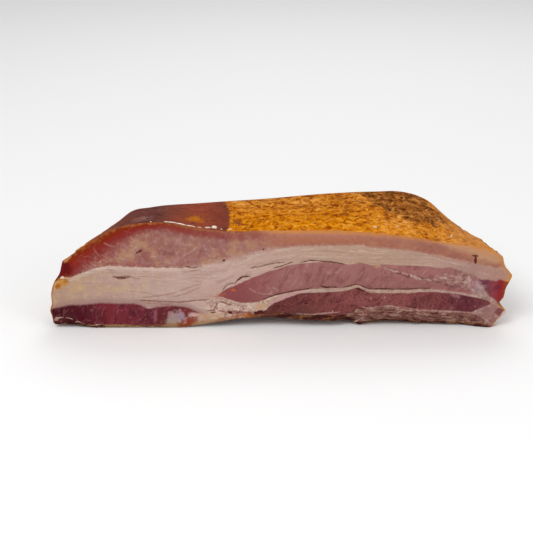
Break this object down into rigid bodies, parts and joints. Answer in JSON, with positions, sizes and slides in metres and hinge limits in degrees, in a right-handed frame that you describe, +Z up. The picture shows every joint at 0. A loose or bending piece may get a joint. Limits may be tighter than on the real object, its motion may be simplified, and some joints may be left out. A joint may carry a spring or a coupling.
{
  "type": "thick-cut bacon slice",
  "caption": "Thick hand-cut piece of smoked streaky bacon with wavy layers of fat and lean, a domed smoked side and a flat resting side.",
  "frame": {"origin": "middle of the footprint's box, on the surface that the piece rests on", "axes": "+X along the length, towards the thin end with the dark red lean; -Y out of the front cut face; +Z up, out of the smoked side"},
  "size_m": [0.2314, 0.0626, 0.056],
  "materials": {
    "cured_meat": "moist, greasy cured meat in layers of pale fat and dark red lean, with a golden smoked side"
  },
  "bodies": {
    "root": {"bacon_slice": "cured_meat"}
  },
  "joints": []
}
